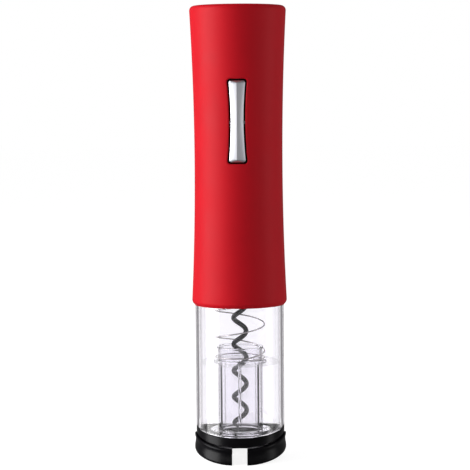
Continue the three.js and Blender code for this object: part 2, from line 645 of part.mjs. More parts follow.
function cutterArm(side) {
  const { gap, bridgeHalfAngle, lowerPlate, upperPlate, plate, hingeR, seamAngle, linkAngle } = CUTTER;
  const { linkHalf, knuckleR, knuckleInset, pinR } = CUTTER;
  const sector = wedge(-100, 90 - bridgeHalfAngle - seamAngle, BELOW, FAR);
  const space = cut(side > 0 ? sector : sector.mirror([1, 0, 0]),
    box(side > 0 ? [-FAR, gap / 2] : [-gap / 2, FAR], [-FAR, 0], [BELOW, FAR]));
  const knuckleZ = [lowerPlate + knuckleInset, upperPlate + plate - knuckleInset];
  const hinge = hingeAt(side);
  const root = atAngle(hingeR, 90 - side * (bridgeHalfAngle + linkAngle));
  const link = new THREE.Vector2(root[0] - hinge[0], root[1] - hinge[1]);
  const bar = box([0, link.length()], [-linkHalf, linkHalf], knuckleZ).rotate([0, 0, link.angle() / DEG]);
  const pieces = [cutterRing().intersect(space), bar.translate([hinge[0], hinge[1], 0]),
    cylinder(knuckleR, ...knuckleZ, hinge, SMALL)];
  const hole = (r, at) => cylinder(r + GAP, 0, FAR, at, SMALL);
  return cut(join(...pieces), hole(pinR, hinge),
    ...WHEEL.angles.map((angle) => hole(WHEEL.axleR, wheelAt(side, angle))));
}

function cutterBridge() {
  const { bridgeHalfAngle, lowerPlate, upperPlate, plate, r, wall, weld } = CUTTER;
  const { knuckleRoomR, tabInnerR, tab, tabOverlap, pinR } = CUTTER;
  const sector = wedge(90 - bridgeHalfAngle, 90 + bridgeHalfAngle, BELOW, FAR);
  const room = [lowerPlate + tabOverlap, upperPlate + plate - tabOverlap];
  const tabs = [[room[0] - tab, room[0]], [room[1], room[1] + tab]]
    .map(([z0, z1]) => ring(tabInnerR, r - wall + weld, z0, z1).intersect(sector));
  const knuckles = [-1, 1].map((side) => cylinder(knuckleRoomR, ...room, hingeAt(side), SMALL));
  const pinHoles = [-1, 1].map((side) => cylinder(pinR + GAP, 0, FAR, hingeAt(side), SMALL));
  return cut(join(cutterRing().intersect(sector), ...tabs), ...knuckles, ...pinHoles);
}

function hingePin(side) {
  const { lowerPlate, upperPlate, plate, pinR, pinBelow, pinAbove } = CUTTER;
  return cylinder(pinR, lowerPlate - pinBelow, upperPlate + plate + pinAbove, hingeAt(side), SMALL);
}

// A cutting wheel, sharp at its rim, in one with its axle.
function cutterWheel(side, angle) {
  const { r, rimR, thickness, axleR, axleHalf } = WHEEL;
  const middle = (CUTTER.lowerPlate + CUTTER.plate + CUTTER.upperPlate) / 2;
  const half = thickness / 2;
  const outline = [[0, -axleHalf], [axleR, -axleHalf], [axleR, -half], [rimR, -half], [r, 0], [rimR, half],
    [axleR, half], [axleR, axleHalf], [0, axleHalf]];
  const [x, y] = wheelAt(side, angle);
  return turned(outline, SMALL).translate([x, y, middle]);
}

// ---- assembly ----

const finish = (color, roughness, metalness = 0, more = {}) => new THREE.MeshStandardMaterial(
  { color, roughness, metalness, ...more });
const RED = finish(0xc3131c, 0.5);
const BLACK = finish(0x0d0c10, 0.35);
const GREY = finish(0x55565a, 0.55);
const NATURAL = finish(0xe8e4d8, 0.45);
const SILVER = finish(0xd9d9e0, 0.28, 0.9);
const STEEL = finish(0x9a9ca2, 0.35, 1);
const BRONZE = finish(0xb08d57, 0.4, 1);
const COPPER = finish(0x8a5a34, 0.5, 0.6);
const GREEN = finish(0x1f6b3a, 0.5);
const BLUE = finish(0x27486f, 0.35);
const CLEAR = finish(0xf4f7fa, 0.05, 0, { transparent: true, opacity: 0.3 });

const group = new THREE.Group();
function add(name, body, material) {
  const mesh = new THREE.Mesh(geometryOf(body), material);
  mesh.name = name;
  group.add(mesh);
}

add('handle_shell', handleShell(), RED);
add('battery_cap', batteryCap(), RED);
add('battery_holder', batteryHolder(), GREY);
CELLS.forEach((c, i) => {
  const [x, y] = cellAt(c);
  add(`battery_${i + 1}`, cell(c[2]).translate([x, y, cellBottom(c[2])]), BLUE);
  add(`contact_spring_${i + 1}`, contactSpring(c[2]).translate([x, y, 0]), STEEL);
});
add('cap_contact_left', capContact(-1), STEEL);
add('cap_contact_right', capContact(1), STEEL);
add('contact_link', holderContact(CELLS[1], CELLS[2]), STEEL);
add('terminal_plate_left', holderContact(CELLS[0], CELLS[0]), STEEL);
add('terminal_plate_right', holderContact(CELLS[3], CELLS[3]), STEEL);

add('frame_front', frameHalf(-1), GREY);
add('frame_rear', frameHalf(1), GREY);
add('motor_can', motorCan(), STEEL);
add('motor_magnet_left', motorMagnet(-1), GREY);
add('motor_magnet_right', motorMagnet(1), GREY);
add('motor_armature', motorArmature(), COPPER);
add('motor_end_cap', motorEndCap(), BLACK);
add('motor_screw_left', motorScrew(-1), STEEL);
add('motor_screw_right', motorScrew(1), STEEL);

add('motor_pinion', motorPinion(), BRONZE);
add('ring_gear', ringGear(), NATURAL);
add('first_carrier', firstCarrier(), NATURAL);
add('output_carrier', outputCarrier(), STEEL);
for (let i = 0; i < GEAR.planets; i++) {
  add(`first_planet_${i + 1}`, planetGear(i, STAGE1.gears), NATURAL);
  add(`second_planet_${i + 1}`, planetGear(i, STAGE2.gears), NATURAL);
}
add('bulkhead', bulkhead(), BLACK);
add('output_bush', outputBush(), BRONZE);
add('corkscrew_hub', corkscrewHub(), BLACK);
add('corkscrew', corkscrew(), BLACK);

add('rocker_button', rockerButton(), SILVER);
add('rocker_pin', rod('x', ROCKER.pinR, -ROCKER.pinHalf, ROCKER.pinHalf, [ROCKER.pinY, ROCKER.z]), STEEL);
add('rocker_tray', rockerTray(), BLACK);
add('switch_housing', switchHousing(), BLACK);
add('switch_slider', switchSlider(), NATURAL);
add('switch_board', switchBoard(), GREEN);

add('clear_tube', clearTube(), CLEAR);
add('neck_sleeve', neckSleeve(), CLEAR);
add('sleeve_spring', sleeveSpring(), STEEL);
add('bottom_collar', bottomCollar(), BLACK);

add('cutter_bridge', cutterBridge(), BLACK);
for (const [word, side] of [['left', -1], ['right', 1]]) {
  add(`cutter_arm_${word}`, cutterArm(side), BLACK);
  add(`cutter_hinge_pin_${word}`, hingePin(side), STEEL);
  add(`cutter_wheel_${word}_front`, cutterWheel(side, WHEEL.angles[0]), STEEL);
  add(`cutter_wheel_${word}_rear`, cutterWheel(side, WHEEL.angles[1]), STEEL);
}

export default group;
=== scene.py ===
"""A cordless electric wine opener, standing on its foil cutter, in a plain studio.

Everything is in metres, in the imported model's frame: +Z up, -Y the front."""

import json
import math

import bmesh
import bpy
from bpy.props import FloatProperty, FloatVectorProperty, IntProperty, PointerProperty
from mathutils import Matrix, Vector


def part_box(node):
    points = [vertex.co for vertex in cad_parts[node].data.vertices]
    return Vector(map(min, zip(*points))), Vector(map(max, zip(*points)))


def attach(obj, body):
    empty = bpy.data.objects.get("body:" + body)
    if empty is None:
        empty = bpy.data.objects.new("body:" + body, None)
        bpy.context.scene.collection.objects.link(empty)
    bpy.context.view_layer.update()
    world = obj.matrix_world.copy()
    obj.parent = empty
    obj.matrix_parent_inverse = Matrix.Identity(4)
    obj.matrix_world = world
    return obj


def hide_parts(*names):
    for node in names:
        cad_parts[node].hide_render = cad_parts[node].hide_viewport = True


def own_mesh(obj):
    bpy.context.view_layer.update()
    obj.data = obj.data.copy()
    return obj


bl_info = {
    "name": "Electric wine opener",
    "version": (1, 0, 0),
    "blender": (4, 5, 0),
    "location": "View3D > Sidebar > Opener",
    "description": "Builds the visible pieces of a cordless electric wine opener",
    "category": "Object",
}

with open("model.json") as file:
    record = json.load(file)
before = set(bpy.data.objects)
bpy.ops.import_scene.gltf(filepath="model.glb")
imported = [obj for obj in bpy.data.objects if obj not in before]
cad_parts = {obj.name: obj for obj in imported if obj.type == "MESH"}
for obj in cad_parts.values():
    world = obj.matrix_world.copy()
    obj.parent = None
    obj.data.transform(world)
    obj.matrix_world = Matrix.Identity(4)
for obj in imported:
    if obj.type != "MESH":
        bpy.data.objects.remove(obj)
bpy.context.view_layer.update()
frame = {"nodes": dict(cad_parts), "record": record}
MM = 0.001
GAP = 0.3 * MM

GRIP_LOW, GRIP_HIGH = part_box("handle_shell")
CAP_LOW, CAP_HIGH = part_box("battery_cap")
ROCKER_LOW, ROCKER_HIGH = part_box("rocker_button")
PIN_LOW, PIN_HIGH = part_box("rocker_pin")
TUBE_LOW, TUBE_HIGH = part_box("clear_tube")
SLEEVE_LOW, SLEEVE_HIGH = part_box("neck_sleeve")
SPRING_LOW, SPRING_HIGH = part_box("sleeve_spring")
HUB_LOW, HUB_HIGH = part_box("corkscrew_hub")
WORM_LOW, WORM_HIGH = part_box("corkscrew")
COLLAR_LOW, COLLAR_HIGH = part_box("bottom_collar")
ARM_LOW, ARM_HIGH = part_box("cutter_arm_right")
BULKHEAD_LOW, BULKHEAD_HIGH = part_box("bulkhead")


def length(name, description, millimetres):
    default = millimetres * MM
    return FloatProperty(name=name, description=description, default=default, unit="LENGTH")


def colour(name, description, red, green, blue):
    default = (red, green, blue)
    return FloatVectorProperty(name=name, description=description, default=default, subtype="COLOR")


class OpenerSizes(bpy.types.PropertyGroup):
    """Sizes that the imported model's boxes don't give."""

    waist_radius: length("Waist radius", "Grip radius at its narrowest", 24.6)
    waist_height: length("Waist height", "Height of the grip's narrowest place", 168)
    flare_radius: length("Flare radius", "Radius of the arc down the grip's side", 1520)
    grip_wall: length("Grip wall", "Thickness of the grip's wall", 2.2)
    tube_wall: length("Tube wall", "Thickness of the clear barrel", 2.2)
    rocker_waist: length("Rocker waist", "Half of the rocker's width at its pivot", 3.45)
    rocker_gap: length("Rocker gap", "Gap all round the rocker", 0.95)
    rocker_height: length("Rocker height", "Height of the rocker's middle", 190.0)
    sleeve_bore: length("Sleeve bore", "Inner radius of the neck sleeve", 11.2)
    sleeve_body: length("Sleeve body", "Outer radius of the neck sleeve's body", 12.8)
    spring_pitch: length("Spring pitch", "Climb of one open turn of the spring", 14.9)
    worm_pitch: length("Worm pitch", "Climb of one turn of the worm", 14.93)
    collar_rise: length("Collar rise", "How much higher the collar's top edge is at the sides", 3.7)
    foot_rise: length("Foot rise", "How much higher the cutter's lower edge is at the sides", 5.6)
    facets: IntProperty(name="Facets", description="Faces round a full turn", default=144, min=24)


class OpenerColours(bpy.types.PropertyGroup):
    """Colours of the finishes that show."""

    grip: colour("Grip", "Soft-touch red", 0.56, 0.0035, 0.012)
    rocker: colour("Rocker", "Silver paint", 0.78, 0.78, 0.83)
    moulding: colour("Black parts", "Black moulded plastic", 0.0032, 0.0028, 0.004)
    worm: colour("Worm", "Non-stick coating", 0.006, 0.006, 0.008)
    clear: colour("Clear parts", "Clear plastic", 0.955, 0.945, 0.975)


# ---- finishes ----

NOISE_MIDDLE = (0.3, 0.7)
PATCH_SCALE = 40  # how much larger patches are than the grain
GRAIN_DEPTH = 0.03 * MM


def new_material(name):
    material = bpy.data.materials.new(name)
    material.use_nodes = True
    tree = material.node_tree
    return material, tree, tree.nodes["Principled BSDF"]


def grain(tree, scale, detail=3.0, stretch=(1, 1, 1)):
    """Noise in the piece's own coordinates, scale being features per metre."""
    place = tree.nodes.new("ShaderNodeTexCoord")
    mapping = tree.nodes.new("ShaderNodeMapping")
    mapping.inputs["Scale"].default_value = stretch
    noise = tree.nodes.new("ShaderNodeTexNoise")
    noise.inputs["Scale"].default_value = scale
    noise.inputs["Detail"].default_value = detail
    tree.links.new(place.outputs["Object"], mapping.inputs["Vector"])
    tree.links.new(mapping.outputs["Vector"], noise.inputs["Vector"])
    return noise


def remapped(tree, source, old, new, interpolation="LINEAR"):
    """Maps a value from an old range to a new one."""
    node = tree.nodes.new("ShaderNodeMapRange")
    node.interpolation_type = interpolation
    for name, value in zip(("From Min", "From Max", "To Min", "To Max"), (*old, *new)):
        node.inputs[name].default_value = value
    tree.links.new(source, node.inputs["Value"])
    return node.outputs["Result"]


def spread(tree, source, low, high):
    """Maps noise, which seldom leaves its middle, to a range."""
    return remapped(tree, source, NOISE_MIDDLE, (low, high))


def calculated(tree, operation, *terms):
    """One step of arithmetic on numbers and sockets."""
    node = tree.nodes.new("ShaderNodeMath")
    node.operation = operation
    for term, socket in zip(terms, node.inputs):
        if isinstance(term, (int, float)):
            socket.default_value = term
        else:
            tree.links.new(term, socket)
    return node.outputs["Value"]


def tint(tree, source, dark, light):
    ramp = tree.nodes.new("ShaderNodeValToRGB")
    for element, rgb, position in zip(ramp.color_ramp.elements, (dark, light), NOISE_MIDDLE):
        element.color = (*rgb, 1)
        element.position = position
    tree.links.new(source, ramp.inputs["Fac"])
    return ramp.outputs["Color"]


def bump(tree, source, shader, strength, distance):
    node = tree.nodes.new("ShaderNodeBump")
    node.inputs["Strength"].default_value = strength
    node.inputs["Distance"].default_value = distance
    tree.links.new(source, node.inputs["Height"])
    tree.links.new(node.outputs["Normal"], shader.inputs["Normal"])


def shade(rgb, factor):
    return tuple(channel * factor for channel in rgb)


def surface(name, rgb, roughness, fine, variation, relief, metallic=0.0, stretch=(1, 1, 1)):
    """A finish with fine relief, faint colour variation, and patchy gloss."""
    material, tree, shader = new_material(name)
    fine_noise = grain(tree, fine, stretch=stretch)
    patches = grain(tree, fine / PATCH_SCALE).outputs["Fac"]
    colour_out = tint(tree, patches, shade(rgb, 1 - variation), shade(rgb, 1 + variation))
    tree.links.new(colour_out, shader.inputs["Base Color"])
    gloss = spread(tree, patches, roughness * 0.92, roughness * 1.08)
    tree.links.new(gloss, shader.inputs["Roughness"])
    shader.inputs["Metallic"].default_value = metallic
    bump(tree, fine_noise.outputs["Fac"], shader, relief, GRAIN_DEPTH)
    return material


def duller(material, level):
    """Weakens a finish's mirror reflection, of which plain plastic has 0.5."""
    material.node_tree.nodes["Principled BSDF"].inputs["Specular IOR Level"].default_value = level
    return material


def soft_touch_red(colours):
    return duller(surface("soft_touch_red", colours.grip, 0.5, 2600, 0.03, 0.12), 0.12)


def silver_paint(colours):
    return surface("silver_paint", colours.rocker, 0.31, 5200, 0.03, 0.012, metallic=0.9)


def black_moulding(colours):
    return duller(surface("black_moulding", colours.moulding, 0.3, 3200, 0.2, 0.1), 0.14)


def coated_steel(colours):
    return duller(surface("coated_steel", colours.worm, 0.34, 2400, 0.25, 0.25), 0.22)


def clear_plastic(colours):
    """Polished clear plastic, with the faint waves of a moulding."""
    material, tree, shader = new_material("clear_plastic")
    waves = grain(tree, 90, detail=1.0, stretch=(1, 1, 0.4))
    shader.inputs["Base Color"].default_value = (*colours.clear, 1)
    shader.inputs["Transmission Weight"].default_value = 1.0
    shader.inputs["IOR"].default_value = 1.49
    tree.links.new(spread(tree, waves.outputs["Fac"], 0.0, 0.03), shader.inputs["Roughness"])
    bump(tree, waves.outputs["Fac"], shader, 0.05, 0.1 * MM)
    return material


def thin_clear_plastic():
    """A clear web so thin that it hardly bends what is behind it."""
    material, tree, shader = new_material("thin_clear_plastic")
    waves = grain(tree, 120, detail=1.0)
    shader.inputs["Base Color"].default_value = (0.95, 0.95, 0.97, 1)
    tree.links.new(spread(tree, waves.outputs["Fac"], 0.1, 0.2), shader.inputs["Alpha"])
    shader.inputs["Roughness"].default_value = 0.1
    bump(tree, waves.outputs["Fac"], shader, 0.05, 0.1 * MM)
    return material


def bright_wire():
    return surface("bright_wire", (0.4, 0.38, 0.38), 0.24, 1800, 0.08, 0.08, metallic=1.0)


def ground_steel():
    return surface("ground_steel", (0.7, 0.7, 0.72), 0.24, 1500, 0.08, 0.2, 1.0, stretch=(1, 1, 12))


def plain_steel():
    return surface("plain_steel", (0.52, 0.52, 0.54), 0.36, 1400, 0.1, 0.15, metallic=1.0)


def grey_moulding():
    return surface("grey_moulding", (0.13, 0.13, 0.14), 0.5, 1800, 0.08, 0.3)


def natural_nylon():
    return surface("natural_nylon", (0.74, 0.71, 0.62), 0.38, 1500, 0.05, 0.2)


def sintered_bronze():
    return surface("sintered_bronze", (0.55, 0.36, 0.15), 0.42, 3600, 0.2, 0.6, metallic=1.0)


def ferrite():
    return surface("ferrite", (0.045, 0.045, 0.05), 0.6, 2600, 0.2, 0.5)


def wound_copper():
    """Lamination lines across the shaft."""
    return surface("wound_copper", (0.42, 0.2, 0.09), 0.4, 700, 0.2, 0.8, 0.8, stretch=(0.1, 0.1, 6))


def circuit_board():
    """Green solder mask over lighter tracks."""
    material, tree, shader = new_material("circuit_board")
    tracks = grain(tree, 260, detail=0.0)
    mask = tint(tree, tracks.outputs["Fac"], (0.008, 0.09, 0.03), (0.02, 0.2, 0.07))
    tree.links.new(mask, shader.inputs["Base Color"])
    shader.inputs["Roughness"].default_value = 0.3
    bump(tree, tracks.outputs["Fac"], shader, 0.3, 0.05 * MM)
    return material


def printed_film():
    """A glossy dark film sleeve, as on a cell."""
    material, tree, shader = new_material("printed_film")
    patches = grain(tree, 140)
    film = tint(tree, patches.outputs["Fac"], (0.02, 0.05, 0.12), (0.035, 0.08, 0.18))
    tree.links.new(film, shader.inputs["Base Color"])
    shader.inputs["Roughness"].default_value = 0.28
    shader.inputs["Coat Weight"].default_value = 0.4
    bump(tree, patches.outputs["Fac"], shader, 0.1, 0.05 * MM)
    return material


# ---- modelling helpers ----


def deselect():
    if bpy.context.object and bpy.context.object.mode != "OBJECT":
        bpy.ops.object.mode_set(mode="OBJECT")
    bpy.ops.object.select_all(action="DESELECT")


def pick(piece):
    deselect()
    piece.select_set(True)
    bpy.context.view_layer.objects.active = piece


def apply_place(piece):
    """Puts the piece's place into its mesh."""
    pick(piece)
    bpy.ops.object.transform_apply(location=True, rotation=True, scale=True)


def close_up(piece, merge=0.002 * MM):
    """Merges doubles and turns the faces outwards."""
    pick(piece)
    bpy.ops.object.mode_set(mode="EDIT")
    bpy.ops.mesh.select_all(action="SELECT")
    bpy.ops.mesh.remove_doubles(threshold=merge)
    bpy.ops.mesh.normals_make_consistent(inside=False)
    if bmesh.from_edit_mesh(piece.data).calc_volume(signed=True) < 0:
        bpy.ops.mesh.flip_normals()
    bpy.ops.object.mode_set(mode="OBJECT")


def smooth(piece, degrees=32):
    """Smooth shading that leaves large faces flat beside their rounded edges."""
    pick(piece)
    bpy.ops.object.shade_smooth_by_angle(angle=math.radians(degrees))
    bpy.ops.object.modifier_add(type="WEIGHTED_NORMAL")
    piece.modifiers[-1].keep_sharp = True
    bpy.ops.object.modifier_apply(modifier=piece.modifiers[-1].name)


def softened(outline, radius, steps=4):
    """A closed outline with its corners rounded. Corners on the axis stay."""
    rounded = []
    count = len(outline)
    for i, corner in enumerate(outline):
        here = Vector(corner)
        before = Vector(outline[i - 1]) - here
        after = Vector(outline[(i + 1) % count]) - here
        if here.x == 0 or before.angle(after) > math.radians(160):
            rounded.append(tuple(here))
            continue
        cut = min(radius, before.length * 0.45, after.length * 0.45)
        start, end = here + before.normalized() * cut, here + after.normalized() * cut
        for k in range(steps + 1):
            t = k / steps
            rounded.append(tuple(start * (1 - t) ** 2 + here * (2 * t * (1 - t)) + end * t * t))
    return rounded


def extrude_ring(old, new):
    bpy.ops.mesh.extrude_edges_move(TRANSFORM_OT_translate={"value": (0, 0, new[1] - old[1])})
    factor = new[0] / old[0]
    bpy.ops.transform.resize(value=(factor, factor, 1), center_override=(0, 0, 0))


def turned(name, outline, facets):
    """A closed (radius, z) outline turned about the Z axis: a circle, extruded ring by ring.
    It may start or end on the axis."""
    deselect()
    rings = [p for p in outline if p[0] > 0]
    bpy.ops.mesh.primitive_circle_add(vertices=facets, radius=rings[0][0], fill_type="NOTHING")
    piece = bpy.context.object
    piece.name = piece.data.name = name
    piece.location.z = rings[0][1]
    apply_place(piece)
    bpy.ops.object.mode_set(mode="EDIT")
    bpy.ops.mesh.select_all(action="SELECT")
    for old, new in zip(rings, rings[1:]):
        extrude_ring(old, new)
    if outline[-1][0] == 0:
        extrude_ring(rings[-1], (0, outline[-1][1]))
    elif outline[0][0] > 0:
        extrude_ring(rings[-1], rings[0])
    if outline[0][0] == 0:
        bpy.ops.mesh.select_all(action="SELECT")
        bpy.ops.mesh.remove_doubles(threshold=0.002 * MM)
        bpy.ops.mesh.select_all(action="DESELECT")
        bpy.ops.mesh.select_non_manifold()
        extrude_ring(rings[0], (0, outline[0][1]))
    bpy.ops.object.mode_set(mode="OBJECT")
    close_up(piece)
    return piece


def lofted(name, rings):
    """A closed body through rings of equally many points; the first and last ring are capped."""
    count = len(rings[0])
    faces = [tuple(range(count)), tuple(range((len(rings) - 1) * count, len(rings) * count))]
    for n in range(len(rings) - 1):
        for i in range(count):
            here, there = n * count, (n + 1) * count
            faces.append((here + i, here + (i + 1) % count, there + (i + 1) % count, there + i))
    mesh = bpy.data.meshes.new(name)
    mesh.from_pydata([point for ring in rings for point in ring], [], faces)
    piece = bpy.data.objects.new(name, mesh)
    bpy.context.collection.objects.link(piece)
    close_up(piece)
    return piece


def carve(piece, tool, operation="DIFFERENCE"):
    """Cuts the tool out of the piece, and deletes the tool."""
    pick(piece)
    bpy.ops.object.modifier_add(type="BOOLEAN")
    modifier = piece.modifiers[-1]
    modifier.object = tool
    modifier.operation = operation
    modifier.solver = "EXACT"
    bpy.ops.object.modifier_apply(modifier=modifier.name)
    bpy.data.objects.remove(tool, do_unlink=True)


def bevelled(piece, width, segments=2, degrees=40):
    pick(piece)
    bpy.ops.object.modifier_add(type="BEVEL")
    modifier = piece.modifiers[-1]
    modifier.width = width
    modifier.segments = segments
    modifier.limit_method = "ANGLE"
    modifier.angle_limit = math.radians(degrees)
    bpy.ops.object.modifier_apply(modifier=modifier.name)
    return piece


def joined(pieces, name):
    deselect()
    for piece in pieces:
        piece.select_set(True)
    bpy.context.view_layer.objects.active = pieces[0]
    bpy.ops.object.join()
    pieces[0].name = pieces[0].data.name = name
    return pieces[0]


def bisect(piece, at, normal):
    """Cuts away what lies on the normal's side of a plane, and closes the cut."""
    pick(piece)
    bpy.ops.object.mode_set(mode="EDIT")
    bpy.ops.mesh.select_all(action="SELECT")
    bpy.ops.mesh.bisect(plane_co=at, plane_no=normal, use_fill=True, clear_outer=True)
    bpy.ops.object.mode_set(mode="OBJECT")


def block(name, low, high, bevel=0.2 * MM):
    """A box between two corners, with its edges eased."""
    deselect()
    low, high = Vector(low), Vector(high)
    bpy.ops.mesh.primitive_cube_add(size=1)
    piece = bpy.context.object
    piece.name = piece.data.name = name
    piece.location = (low + high) / 2
    piece.scale = high - low
    apply_place(piece)
    return bevelled(piece, bevel) if bevel else piece


def peg(name, radius, bottom, top, at, facets=32, bevel=0.15 * MM):
    """An upright pin with eased ends."""
    outline = softened([(0, bottom), (radius, bottom), (radius, top), (0, top)], bevel, 3)
    piece = turned(name, outline, facets)
    piece.location = (at[0], at[1], 0)
    apply_place(piece)
    return piece


def wire_along(name, points, radius, taper=0, sides=5):
    """A round wire through points, pointed over the first taper of them."""
    deselect()
    curve = bpy.data.curves.new(name, "CURVE")
    curve.dimensions = "3D"
    curve.bevel_depth = radius
    curve.bevel_resolution = sides
    curve.use_fill_caps = True
    spline = curve.splines.new("POLY")
    spline.points.add(len(points) - 1)
    for i, (target, point) in enumerate(zip(spline.points, points)):
        target.co = (*point, 1)
        target.radius = max(0.04, math.sin(min(1, i / taper) * math.pi / 2)) if taper else 1
    piece = bpy.data.objects.new(name, curve)
    bpy.context.collection.objects.link(piece)
    pick(piece)
    bpy.ops.object.convert(target="MESH")
    piece = bpy.context.object
    close_up(piece, 0.001 * MM)
    return piece


def finished(piece, material, body, slot, *nodes, degrees=32):
    """Gives a piece its finish, and puts it on its body in place of its nodes."""
    piece.data.materials.clear()
    piece.data.materials.append(material)
    smooth(piece, degrees)
    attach(piece, body)
    if nodes:
        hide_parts(*nodes)


def arch(y, rise, radius):
    """How far an arched grip edge has risen: nothing at front and back, the most at the sides."""
    blend = 0.12
    s = abs(y) / radius
    return rise * (1 - (math.hypot(s, blend) - blend) / (math.hypot(1, blend) - blend))


def grip_radius(sizes, z):
    return sizes.waist_radius + (z - sizes.waist_height) ** 2 / (2 * sizes.flare_radius)


# ---- grip, cap and rocker ----


def rocker_outline(sizes, grow, inset=1.0, end_inset=0.0):
    """Points round the rocker in X and Z about its pivot: waisted sides, and rounded corners.
    inset narrows it across, and end_inset shortens it."""
    corner = 1.3 * MM + grow / 2
    half = (ROCKER_HIGH.z - ROCKER_LOW.z) / 2 - 0.6 * MM + grow
    end = (ROCKER_HIGH.x - ROCKER_LOW.x) / 2 - 0.25 * MM + grow
    waist = sizes.rocker_waist + grow
    reach = half - corner
    quarter = []
    for i in range(15):
        z = reach * i / 14
        quarter.append((waist + (end - waist) * (z / reach) ** 2, z))
    for i in range(1, 7):
        angle = math.pi / 2 * i / 6
        quarter.append((end - corner + corner * math.cos(angle), reach + corner * math.sin(angle)))
    for i in range(1, 4):
        quarter.append(((end - corner) * (1 - i / 3), half))
    right = [(x, -z) for x, z in reversed(quarter[1:])] + quarter
    left = [(-x, z) for x, z in reversed(right[1:-1])]
    shorter = (half - end_inset) / half
    return [(x * inset, z * shorter) for x, z in right + left]


def rocker_recess(sizes):
    """What the rocker's opening takes out of the grip: straight inside, with a lip that rounds
    over onto the grip's own curved surface."""
    depths_and_flares = [(7.0, 0), (0.9, 0), (0.5, 0.07), (0.24, 0.22), (0.08, 0.45), (0.0, 0.75),
                         (-0.2, 1.1), (-3.0, 1.3)]
    rings = []
    for depth, flare in depths_and_flares:
        ring = []
        for x, z in rocker_outline(sizes, sizes.rocker_gap + flare * MM):
            height = z + sizes.rocker_height
            outside = math.sqrt(grip_radius(sizes, height) ** 2 - x * x)
            ring.append((x, depth * MM - outside, height))
        rings.append(ring)
    return lofted("rocker_recess", rings)


def grip_side(sizes, low, high, steps, inset=0.0):
    """The grip's waisted side, or its inner wall, as (radius, z) points going up."""
    heights = [low + (high - low) * i / steps for i in range(steps + 1)]
    return [(grip_radius(sizes, z) - inset, z) for z in heights]


def arc(centre, radius, start, end, steps):
    """Points on an arc of an outline, angles in degrees."""
    points = []
    for i in range(steps + 1):
        angle = math.radians(start + (end - start) * i / steps)
        points.append((centre[0] + radius * math.cos(angle), centre[1] + radius * math.sin(angle)))
    return points


class OPENER_OT_grip(bpy.types.Operator):
    """The waisted red grip, with its rocker opening"""

    bl_idname = "opener.grip"
    bl_label = "Grip"

    def execute(self, context):
        sizes = context.scene.opener_sizes
        bottom, top = GRIP_LOW.z, GRIP_HIGH.z
        socket = TUBE_HIGH.x + GAP
        shoulder = BULKHEAD_HIGH.z + GAP
        lip = 3 * MM
        opening = CAP_HIGH.x + GAP
        upper_rim, lower_rim = top - 2.8 * MM, bottom + 2.6 * MM
        upper_r, lower_r = grip_radius(sizes, upper_rim), grip_radius(sizes, lower_rim)
        rounding, ease = 2.7 * MM, 0.4 * MM
        top_edge = arc((upper_r - rounding, upper_rim), rounding, 3, 90, 9)
        heel = [(lower_r - 1.25 * MM, bottom + 0.35 * MM), (lower_r - 0.6 * MM, bottom + 1.0 * MM),
                (lower_r - 0.18 * MM, bottom + 1.8 * MM)]
        outline = [(socket, bottom), (socket + 0.1 * MM, bottom), *heel,
                   *grip_side(sizes, lower_rim, upper_rim, 44), *top_edge,
                   (opening + ease, top), (opening, top - ease), (opening, top - lip),
                   *reversed(grip_side(sizes, shoulder, top - lip, 8, sizes.grip_wall)),
                   (socket, shoulder)]
        piece = turned("grip", outline, sizes.facets)
        carve(piece, rocker_recess(sizes))
        red = soft_touch_red(context.scene.opener_colours)
        finished(piece, red, "housing", "red_grip", "handle_shell", degrees=38)
        return {"FINISHED"}


class OPENER_OT_battery_cap(bpy.types.Operator):
    """The flat battery cap, with a bar to turn it by"""

    bl_idname = "opener.battery_cap"
    bl_label = "Battery cap"

    def execute(self, context):
        sizes = context.scene.opener_sizes
        radius, bottom, top = CAP_HIGH.x, CAP_LOW.z, CAP_HIGH.z
        plug = radius - 1 * MM
        flange = top - 3 * MM
        rim, pit_depth, half_bar = 3.4 * MM, 3.4 * MM, 2.5 * MM
        outline = softened([(0, bottom), (plug, bottom), (plug, flange - 0.6 * MM),
                            (radius, flange), (radius, top), (0, top)], 0.35 * MM)
        piece = turned("battery_cap_top", outline, sizes.facets)
        pit = peg("pit", radius - rim, top - pit_depth, top + 3 * MM, (0, 0), 96, 1.2 * MM)
        bar = block("bar", (-half_bar, -radius, bottom), (half_bar, radius, top + 5 * MM), 0)
        carve(pit, bar)
        carve(piece, pit)
        bevelled(piece, 0.3 * MM, 3, 50)
        red = soft_touch_red(context.scene.opener_colours)
        finished(piece, red, "cap", "red_grip", "battery_cap")
        return {"FINISHED"}


